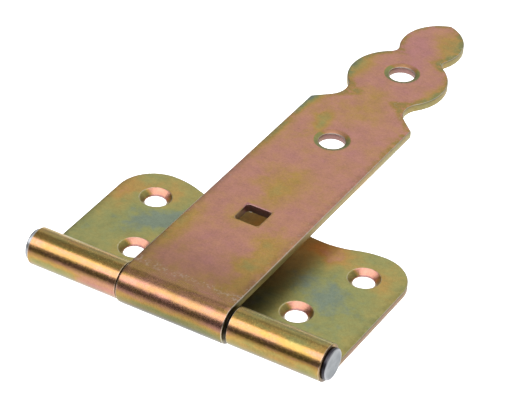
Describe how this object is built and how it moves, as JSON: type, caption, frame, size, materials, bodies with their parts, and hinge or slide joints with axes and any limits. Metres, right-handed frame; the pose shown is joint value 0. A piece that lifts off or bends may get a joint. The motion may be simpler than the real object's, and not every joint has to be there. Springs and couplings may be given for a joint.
{
  "type": "door hinge",
  "caption": "Ornamental steel T-hinge: a strap leaf with a spade tip turns on a headed pin in the rolled knuckles of a wide cross plate.",
  "frame": {"origin": "midway between the two near screw holes of the cross plate, on its wall face", "axes": "+Y along the folded strap towards its tip, +X along the pin, +Z out of the wall through the countersinks"},
  "size_m": [0.1132, 0.1951, 0.0142],
  "materials": {
    "strap_leaf": "yellow chromate zinc plating, satin, copper and olive tints",
    "cross_plate": "yellow chromate zinc plating, satin, olive and gold tints",
    "hinge_pin": "bright zinc plated steel"
  },
  "bodies": {
    "plate": {"cross_plate": "cross_plate", "hinge_pin": "hinge_pin"},
    "strap": {"strap_leaf": "strap_leaf"}
  },
  "joints": [
    {"name": "strap_swing", "type": "hinge", "parent": "plate", "child": "strap", "pos_m": [0, -0.0215, 0.0065], "axis": [1, 0, 0], "range_deg": [-7, 270]}
  ]
}
